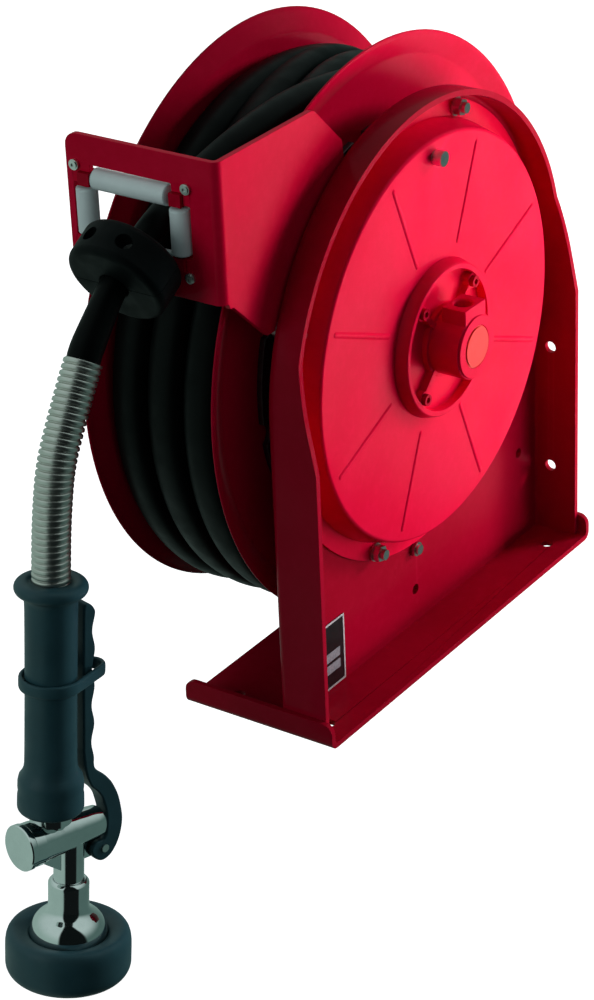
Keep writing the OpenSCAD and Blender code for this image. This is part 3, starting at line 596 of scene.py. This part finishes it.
HANG_LINE, CUFF_DIR = hanging_line()
CUFF_AT = HANG_LINE[-1]  # mouth of the rubber cuff, where the armour goes in

ARMOUR_PITCH = 3.3
ARMOUR_SCALE = 0.99  # on the radii below
# phase through one turn of the strip, radius
ARMOUR_PROFILE = [
    (0.0, 9.25), (0.05, 9.95), (0.14, 10.12), (0.45, 10.12), (0.60, 10.0),
    (0.70, 9.7), (0.78, 9.2), (0.84, 8.95), (0.95, 8.95), (1.0, 9.25),
]


def make_armour():
    """Helical strip-wound steel sleeve."""
    path = [WAND @ Vector((0, 0, z * MM)) for z in (-3.0, 0, 4, 8, 12)] + HANG_LINE
    # run a little way under the rubber cuff's mouth
    path.append(CUFF_AT + CUFF_DIR * 1.2 * MM)
    path = resample(catmull(path, 4), 0.27 * MM)
    phases, radii = zip(*ARMOUR_PROFILE)
    sides = 64

    def section(_, run):
        ring = []
        for q in range(sides):
            angle = 2 * math.pi * q / sides
            phase = (run / (ARMOUR_PITCH * MM) - q / sides) % 1.0
            radius = float(np.interp(phase, phases, radii)) * MM * ARMOUR_SCALE
            ring.append((radius * math.cos(angle), radius * math.sin(angle)))
        return ring

    obj = sweep("armoured_sleeve", path, section, ARMOUR)
    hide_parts("armoured_hose", "hose_ferrule")
    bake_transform(obj)


make_armour()

HOSE_R = 7.6
CUFF_EXTRA = 1.1  # added radius of the moulded cuff
CUFF_FULL, CUFF_END = 10.0, 34.0  # distances from its mouth where the cuff starts and ends to thin
FLAT_START, FLAT_END = -120, -60  # y over which the hose flattens towards the coil
FLAT_WIDER, FLAT_TALLER = 2.6, 0.2  # what flattening adds to the half width and half height
# centre line (x, y, z) from behind the stop over the drum
LEAD_POINTS = [
    (-30.6, -147, 305.5), (-29, -128, 313.6), (-26.5, -104, 320.5), (-23.5, -76, 326),
    (-21, -44, 328.5), (-19.8, -12, 326), (-19.6, 18, 320), (-19.6, 44, 309),
]


def make_lead():
    """Hose from the cuff through the stop to the top of the coil."""
    path = [CUFF_AT + CUFF_DIR * d * MM for d in (-6, 0, 9)]
    path += [STOP_AT + STOP_AXIS * d * MM for d in (-14, 0, 12, 26)]
    path += [mm(*p) for p in LEAD_POINTS]
    path = resample(catmull(path, 10), 2.0 * MM)

    def section(i, _):
        point = path[i]
        radius = HOSE_R
        if point.y < STOP_AT.y:
            distance = (point - CUFF_AT).dot(CUFF_DIR) / MM
            radius += CUFF_EXTRA * clamp((CUFF_END - distance) / (CUFF_END - CUFF_FULL))
        flat = clamp((point.y / MM - FLAT_START) / (FLAT_END - FLAT_START))
        return ellipse((radius + FLAT_WIDER * flat) * MM, (radius + FLAT_TALLER * flat) * MM, 40)

    obj = sweep("hose_lead", path, section, HOSE)
    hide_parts("hose_tail", "free_hose")
    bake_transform(obj)


make_lead()

# ------------------------------------------------------------------ coil on the drum
DRUM_Z = 186.0
# degrees about the drum, 0 at +Y and 90 at the top; each turn crosses over between these
CROSS_START, TURN_START = 128, 60
CROSS_DIP = 0.9  # how far a turn sinks halfway across


def coil_layer(name, radius, sag, stations, waver, half_size):
    """A layer of flattened turns, one at each x station, its centre dropped by the sag."""
    steps = 150
    span = CROSS_START - TURN_START
    path = []
    for t, x in enumerate(stations):
        next_x = stations[min(t + 1, len(stations) - 1)]
        for i in range(steps):
            turned = 360.0 * i / steps
            angle = TURN_START - turned
            part = clamp((turned - (360 - span)) / span)
            part = part * part * (3 - 2 * part)
            r = radius + waver * math.sin(math.radians(angle * 2 + 70 * t))
            r -= CROSS_DIP * math.sin(math.pi * part)
            y = r * math.cos(math.radians(angle))
            z = DRUM_Z - sag + r * math.sin(math.radians(angle))
            path.append(mm(x + (next_x - x) * part, y, z))
    ring = squared_ellipse(*half_size, powers=(0.82, 0.9), count=36)
    return sweep(name, path, lambda i, run: ring, HOSE)


outer_turns = coil_layer("hose_turns_outer", radius=144.4, sag=8.0, waver=0.35,
                         stations=[-20.6, -44.0, -67.4], half_size=(11.9, 9.1))
inner_turns = coil_layer("hose_turns_inner", radius=127.5, sag=6.5, waver=0.3,
                         stations=[-67.0, -43.6, -21.2], half_size=(11.6, 8.6))
put(outer_turns, "drum", "hose_rubber", "wound_hose")
put(inner_turns, "drum", "hose_rubber")

# ------------------------------------------------------------------ bump stop
STOP_R, STOP_HALF = 27.4, 11.2  # radius and half thickness
STOP_ROLL = 4  # radius of the rolled edges
STOP_BORE = 7.7
STOP_GAP = 0.18  # each half's distance from the split plane
BOLT_Y = 10.5
# radius and start, as a distance from the split plane, of a bolt pocket and its hole
BOLT_CUTS = ((4.15, 16.0), (2.1, -1))
CUT_END = 60


def make_stop_half(side, name, node):
    """Half of a thick rubber puck; side is -1 for the lower half and 1 for the upper."""
    bore, half = STOP_BORE, STOP_HALF
    rim, roll = STOP_R - STOP_ROLL, STOP_HALF - STOP_ROLL
    profile = [(bore + 1.2, -half), (14, -half)]
    profile += arc(rim, -roll, STOP_ROLL, -90, 0) + arc(rim, roll, STOP_ROLL, 0, 90)
    profile += [(14, half), (bore + 1.2, half), (bore + 0.4, half - 0.4), (bore, half - 1.4),
                (bore, -half + 1.4), (bore + 0.4, -half + 0.4)]
    steps, count = 48, len(profile)
    verts, faces = [], []
    for i in range(steps + 1):
        angle = math.radians(-90 * side + 180.0 * i / steps)
        verts += [mm(r * math.cos(angle) + side * STOP_GAP, r * math.sin(angle), z)
                  for r, z in profile]
    for i in range(steps):
        for j in range(count):
            k = (j + 1) % count
            faces.append((i * count + j, (i + 1) * count + j, (i + 1) * count + k, i * count + k))
    faces.append(tuple(range(count)))
    faces.append(tuple(steps * count + j for j in range(count)))
    obj = make_object(name, verts, faces, STOP)
    for y in (-BOLT_Y, BOLT_Y):
        for radius, start in BOLT_CUTS:
            r, depth = radius * MM, (CUT_END - start) * MM
            cut_away(obj, lathe("cut", [(0, 0), (r, 0), (r, depth), (0, depth)], STOP,
                                shift(side * start, y, 0) @ turn(90 * side, "Y"),
                                sides=32, closed=False))
    obj.data.transform(Matrix.Translation(STOP_AT) @ turn(STOP_RISE - 90, "X") @ turn(-90, "Z"))
    set_smooth(obj.data)
    bevel(obj, 0.5, segments=2, angle=50)
    put(obj, "root", "stop_rubber", node)


make_stop_half(-1, "stop_half_lower", "hose_stop_lower")
make_stop_half(1, "stop_half_upper", "hose_stop_upper")

# ------------------------------------------------------------------ grip, bumper and bell
# (radius, z) in the wand's frame
GRIP_OUTLINE = (
    [(10.3, 0.2), (14.8, 0.2)] + arc(15.3, -3.5, 3.7, 85, -62, 12) + [
        (15.2, -7.8), (14.2, -9.2), (13.7, -11.5), (13.55, -16), (13.5, -30), (13.55, -60),
        (13.6, -95), (13.7, -101.5), (14.1, -104.6), (15.2, -107.2), (16.6, -109.2),
        (17.1, -111.5), (17.2, -115), (16.95, -117.4), (17.3, -119.6), (17.4, -124.8),
    ] + arc(14.3, -125.8, 3.1, 10, -90) + [(10.3, -128.9)])
# (radius, z) about the head's axis
BUMPER_OUTLINE = [
    (20.95, -205.9), (21.2, -205.1), (22.0, -204.3), (23.4, -203.6), (25.2, -203.0),
    (27.0, -202.5), (28.6, -202.3), (30.1, -202.5), (31.4, -203.4), (32.4, -204.9),
    (33.05, -207.0), (33.4, -209.8), (33.45, -214), (33.4, -219),
] + arc(25.6, -221.4, 7.8, 0, -90, 12) + [
    (25.0, -229.2), (24.9, -228), (24.9, -222.9), (21.2, -222.9), (20.95, -222.2)]
BELL_OUTLINE = [
    (8.2, -173.3), (8.4, -173.15), (9.2, -173.15), (9.5, -173.35), (10.6, -174.6),
    (10.85, -175.1), (10.9, -176.5), (10.85, -180), (10.85, -186.5), (10.95, -188.6),
    (11.35, -190.2), (12.2, -191.6), (13.4, -192.7), (15.0, -193.9), (16.7, -195.3),
    (18.1, -196.9), (19.2, -198.7), (20.05, -200.9), (20.6, -203.2), (20.85, -205.4),
    (20.92, -208), (20.92, -221), (18.6, -221), (18.6, -205), (17.8, -201.6), (15.4, -198.2),
    (11.6, -195.4), (8.9, -192.6), (8.2, -189),
]
FLASH_ANGLE = 1.2  # radians; the second seam is opposite
FLASH_HEIGHT, FLASH_HALF_WIDTH = 0.16, 0.04  # the half width is in radians
WAIST_DEPTH = 0.12  # hand wear, deepest halfway down


def make_grip():
    obj = lathe("rubber_grip", lathe_outline(GRIP_OUTLINE, 4), GRIP)

    def off(angle):
        return abs((angle + math.pi) % (2 * math.pi) - math.pi)

    # moulding flash along both sides, and a slightly worn waist
    for vert in obj.data.vertices:
        angle = math.atan2(vert.co.y, vert.co.x)
        radius = math.hypot(vert.co.x, vert.co.y)
        z = vert.co.z / MM
        if radius > 0.0125 and -112 < z < -10:
            seam = min(off(angle - FLASH_ANGLE), off(angle - FLASH_ANGLE - math.pi))
            add = FLASH_HEIGHT * max(0.0, 1 - seam / FLASH_HALF_WIDTH)
            add -= WAIST_DEPTH * math.sin((z + 10) / 102 * math.pi) ** 2
            vert.co.x *= 1 + add * MM / radius
            vert.co.y *= 1 + add * MM / radius
    obj.data.transform(WAND)
    put(obj, "wand", "grip_rubber", "grip")


make_grip()
put(lathe("rubber_bumper", lathe_outline(BUMPER_OUTLINE, 3), GRIP, HEAD, 128),
    "wand", "grip_rubber", "bumper")
put(lathe("spray_bell_shell", lathe_outline(BELL_OUTLINE, 3), CHROME, HEAD, 128),
    "wand", "chrome", "spray_bell")

# ------------------------------------------------------------------ lever and hold-open ring
# side view of the lever, (x, z) in the wand's frame, in order round the outline
LEVER_TIP = [(18.2, -17.0), (19.6, -16.6), (21.4, -17.2), (23.0, -18.6), (24.2, -20.4)]
WAVE_X, WAVE_TOP, WAVE_STEP, WAVE_COUNT = 24, -22, 1.5, 58
WAVE_HEIGHT, WAVE_LENGTH = 0.9, 21
LEVER_HOOK = [
    (25.3, -110.6), (27.7, -113.6), (31, -116.2), (34.3, -119.6), (37.3, -123.7),
    (41.2, -131.9), (43.5, -141.5), (44, -147.6), (42.9, -154.3), (40.5, -160.2),
    (36.9, -164.8), (32.9, -167), (29.4, -166.9), (26.1, -164.7), (23.9, -161.6), (23.4, -159),
    (24.6, -156.7), (27.4, -155.3), (31, -154.9), (33, -152.4), (33.6, -146), (33.2, -139.5),
    (31.7, -134), (30, -129.5), (27, -125.4), (23.6, -122), (21.3, -117.5), (19.9, -113),
    (19, -109), (17.9, -100),
]
LEVER_BACK = [(17.3, -60), (17.2, -24), (17.4, -18.6)]
# y across the width, inset of the outline there: both edges are rolled
LEVER_RINGS = [(-4.9, 1.1), (-4.8, 0.5), (-4.4, 0.14), (-3.7, 0.0),
               (3.7, 0.0), (4.4, 0.14), (4.8, 0.5), (4.9, 1.1)]
SLOT_X, SLOT_Y, SLOT_Z = (19, 36.8), (-1.65, 1.65), (-171, -153.5)
BOX_FACES = [(0, 1, 3, 2), (4, 6, 7, 5), (0, 4, 5, 1), (2, 3, 7, 6), (0, 2, 6, 4), (1, 5, 7, 3)]


def lever_outline():
    wave = []
    for i in range(WAVE_COUNT):
        z = WAVE_TOP - WAVE_STEP * i
        phase = math.radians((z - WAVE_TOP) * 360 / WAVE_LENGTH)
        wave.append((WAVE_X + WAVE_HEIGHT * math.cos(phase), z))
    tip = catmull(LEVER_BACK[-1:] + LEVER_TIP + wave[:1], 4)
    hook = catmull(wave[-1:] + LEVER_HOOK, 4)
    return [tuple(p) for p in tip[:-1]] + wave + [tuple(p) for p in hook[1:]] + LEVER_BACK[:-1]


def make_lever():
    outline = lever_outline()
    count = len(outline)
    following = outline[1:] + outline[:1]
    area = sum(a[0] * b[1] - b[0] * a[1] for a, b in zip(outline, following))
    sign = 1 if area > 0 else -1
    inward = []
    for i in range(count):
        tangent = (Vector(following[i]) - Vector(outline[i - 1])).normalized()
        inward.append(Vector((-tangent.y, tangent.x)) * sign)
    verts = []
    for y, inset in LEVER_RINGS:
        for point, normal in zip(outline, inward):
            x, z = Vector(point) + normal * inset
            verts.append(mm(x, y, z))
    obj = make_object("squeeze_lever", verts, tube_faces(len(LEVER_RINGS), count), GRIP)
    # slot for the valve's lug
    corners = [mm(x, y, z) for x in SLOT_X for y in SLOT_Y for z in SLOT_Z]
    cut_away(obj, make_object("cut", corners, BOX_FACES, GRIP, smooth=False))
    obj.data.transform(WAND)
    set_smooth(obj.data)
    obj.modifiers.new("wn", "WEIGHTED_NORMAL")
    put(obj, "lever", "grip_rubber", "lever")


make_lever()

RING_Z = -55.5


def make_hold_ring():
    """Flat band round the handle with a smaller loop round the lever."""
    loop = arc(0, 0, 15.5, 67, 293, 40) + arc(25.6, 0, 6.4, -65, 65, 16)
    path = [mm(x, y, 0) for x, y in loop]
    path = resample(path + [path[0]], 0.9 * MM)[:-1]
    count = len(path)
    ring = squared_ellipse(1.2, 3.3, powers=(0.6, 0.45), count=16)
    verts = []
    for i, point in enumerate(path):
        tangent = (path[(i + 1) % count] - path[i - 1]).normalized()
        outward = Vector((tangent.y, -tangent.x, 0))
        verts += [point + outward * a + Vector((0, 0, RING_Z * MM + b)) for a, b in ring]
    obj = make_object("hold_open_ring", verts, tube_faces(count, len(ring), closed=True), GRIP)
    obj.data.transform(WAND)
    put(obj, "hold_ring", "grip_rubber", "hold_ring")


make_hold_ring()


# ------------------------------------------------------------------ coil springs
def make_spring(name, matrix, radius, wire, length, turns):
    """Wire coil along the matrix's Z, slightly tighter towards both ends."""
    radius, wire, length = radius * MM, wire * MM, length * MM
    path = []
    steps = turns * 28
    for i in range(steps + 1):
        t = i / steps
        angle = 2 * math.pi * turns * t
        rise = length * (0.5 - 0.5 * math.cos(math.pi * t)) * 0.25 + length * t * 0.75
        z = wire + rise * (length - 2 * wire) / length
        path.append(matrix @ Vector((radius * math.cos(angle), radius * math.sin(angle), z)))
    return sweep(name, path, lambda i, run: ellipse(wire, wire, 10), ZINC)


put(make_spring("valve_return_spring", WAND @ shift(-12.4, 0, -145) @ turn(90, "Y"),
                radius=4.4, wire=0.6, length=14, turns=5), "wand", "zinc", "valve_spring")
put(make_spring("pawl_return_spring", shift(3, -2.9, 51.1) @ turn(90, "Y"),
                radius=5.6, wire=0.55, length=7, turns=4), "root", "zinc", "pawl_spring")

# ------------------------------------------------------------------ stage (metres from here on)
FLOOR_Z = -0.103
AMBIENT = (0.15, 0.175, 0.18)
BLACK = (0, 0, 0)
OPENING_X, OPENING_Y = 0.577, -0.816  # level direction towards the camera's side
OPENING_TURN = math.radians(16)  # turns it to the middle of the dark opening
ROOM_RIGHT = (0.827, 0.561, 0)


def room(nodes, direction):
    """What a mirror sees: grey-green walls, paler at the left and above, dark behind the camera."""
    def dot(vector, axis):
        node = nodes.add("VectorMath", operation="DOT_PRODUCT")
        nodes.feed(vector, node.inputs[0])
        node.inputs[1].default_value = axis
        return node.outputs["Value"]

    flat = nodes.add("VectorMath", operation="MULTIPLY")
    nodes.feed(direction, flat.inputs[0])
    flat.inputs[1].default_value = (1, 1, 0)
    level = nodes.add("VectorMath", operation="NORMALIZE")
    nodes.feed(flat.outputs[0], level.inputs[0])
    level = level.outputs[0]
    c, s = math.cos(OPENING_TURN), math.sin(OPENING_TURN)
    middle = (OPENING_X * c - OPENING_Y * s, OPENING_X * s + OPENING_Y * c, 0)
    opening = nodes.remap(dot(level, middle), (0.0, 1.0), span=(0.70, 0.80), smooth=True)
    right = nodes.remap(dot(level, ROOM_RIGHT), (0.0, 1.0), span=(-0.8, 0.9), smooth=True)
    above = nodes.remap(dot(direction, (0, 0, 1)), (0.0, 1.0), span=(0.05, 0.75), smooth=True)
    wall = nodes.mix(right, (0.29, 0.42, 0.375), (0.080, 0.145, 0.130))
    wall = nodes.mix(above, wall, (0.44, 0.56, 0.535))
    return nodes.mix(opening, wall, (0.004, 0.006, 0.006))


def floor_material():
    """Pale to the camera, the room to mirror rays and nearly black to all others."""
    mat = Material("floor")
    rays = mat.add("LightPath").outputs
    geometry = mat.add("NewGeometry")
    onward = mat.add("VectorMath", operation="SCALE")
    mat.feed(geometry.outputs["Incoming"], onward.inputs[0])
    onward.inputs["Scale"].default_value = -1.0
    pale = mat.remap(mat.noise(scale=2.0, detail=2), (0, 1), span=(0.3, 0.7))
    pale = mat.mix(pale, (0.88, 0.88, 0.88), (0.92, 0.92, 0.92))
    glow = mat.mix(rays["Is Glossy Ray"], BLACK, room(mat, onward.outputs[0]))
    glow = mat.mix(rays["Is Camera Ray"], glow, (0.80, 0.80, 0.80))
    return mat.shade({
        "Base Color": mat.mix(rays["Is Camera Ray"], (0.004, 0.004, 0.004), pale),
        "Roughness": 0.8,
        "Specular IOR Level": 0.0,
        "Emission Color": glow,
        "Emission Strength": 1.0,
    })


def make_floor():
    material = floor_material()
    bpy.ops.mesh.primitive_plane_add(size=14, location=(0, 0, FLOOR_Z))
    floor = bpy.context.object
    floor.name = "floor"
    floor.data.materials.append(material)


def make_light(name, place, target, size, power, colour):
    """Rectangular light, size (x, y) in metres and power in watts, seen only by its effect."""
    light = bpy.data.lights.new(name, "AREA")
    light.shape = "RECTANGLE"
    light.size, light.size_y = size
    light.energy = power
    light.color = colour
    obj = bpy.data.objects.new(name, light)
    scene.collection.objects.link(obj)
    obj.location = place
    aim = Vector(target) - Vector(place)
    obj.rotation_euler = aim.to_track_quat("-Z", "Y").to_euler()
    obj.visible_camera = False
    obj.visible_glossy = False


def make_world():
    """White to the camera, the room to mirror rays and a soft cool ambient to the rest."""
    world = bpy.data.worlds.new("studio")
    scene.world = world
    world.use_nodes = True
    nodes = Nodes(world.node_tree)
    output = nodes.add("OutputWorld")
    backdrop = nodes.add("Background")
    surroundings = nodes.add("Background")
    choice = nodes.add("MixShader")
    rays = nodes.add("LightPath").outputs
    direction = nodes.add("TexCoord").outputs["Generated"]
    seen = nodes.mix(rays["Is Glossy Ray"], AMBIENT, room(nodes, direction))
    nodes.feed(seen, surroundings.inputs[0])
    surroundings.inputs[1].default_value = 1.0
    backdrop.inputs[0].default_value = (1, 1, 1, 1)
    backdrop.inputs[1].default_value = 1.0
    nodes.feed(rays["Is Camera Ray"], choice.inputs[0])
    nodes.feed(surroundings.outputs[0], choice.inputs[1])
    nodes.feed(backdrop.outputs[0], choice.inputs[2])
    nodes.feed(choice.outputs[0], output.inputs[0])


def make_camera():
    data = bpy.data.cameras.new("camera")
    camera = bpy.data.objects.new("camera", data)
    scene.collection.objects.link(camera)
    right, up, back = (0.8269, 0.5612, -0.0372), (-0.2325, 0.4013, 0.8859), (0.5121, -0.7239, 0.4623)
    place = (0.83614, -1.26505, 0.87849)
    camera.matrix_world = Matrix((*zip(right, up, back, place), (0, 0, 0, 1)))
    data.sensor_width = 36
    data.lens = 108.39
    data.shift_x = -0.01127
    data.shift_y = -0.0146
    data.clip_end = 30
    scene.camera = camera


make_floor()
make_light("key", place=(1.0, 1.75, 0.62), target=(0, 0, 0.2), size=(0.5, 0.5), power=34,
           colour=(1.0, 0.95, 0.99))
# lies just above the floor and shines upwards
make_light("table", place=(0.62, 0.95, FLOOR_Z + 0.005), target=(0.62, 0.95, 1.0),
           size=(1.0, 1.3), power=60, colour=(1.0, 0.93, 1.0))
make_light("fill", place=(-0.9, -2.3, 0.9), target=(0, -0.1, 0.15), size=(1.4, 1.4), power=13,
           colour=(0.93, 1.0, 1.0))
make_light("rim", place=(-1.6, 0.6, 1.7), target=(0, 0, 0.25), size=(0.8, 0.8), power=6,
           colour=(1.0, 0.92, 1.0))
make_world()
make_camera()
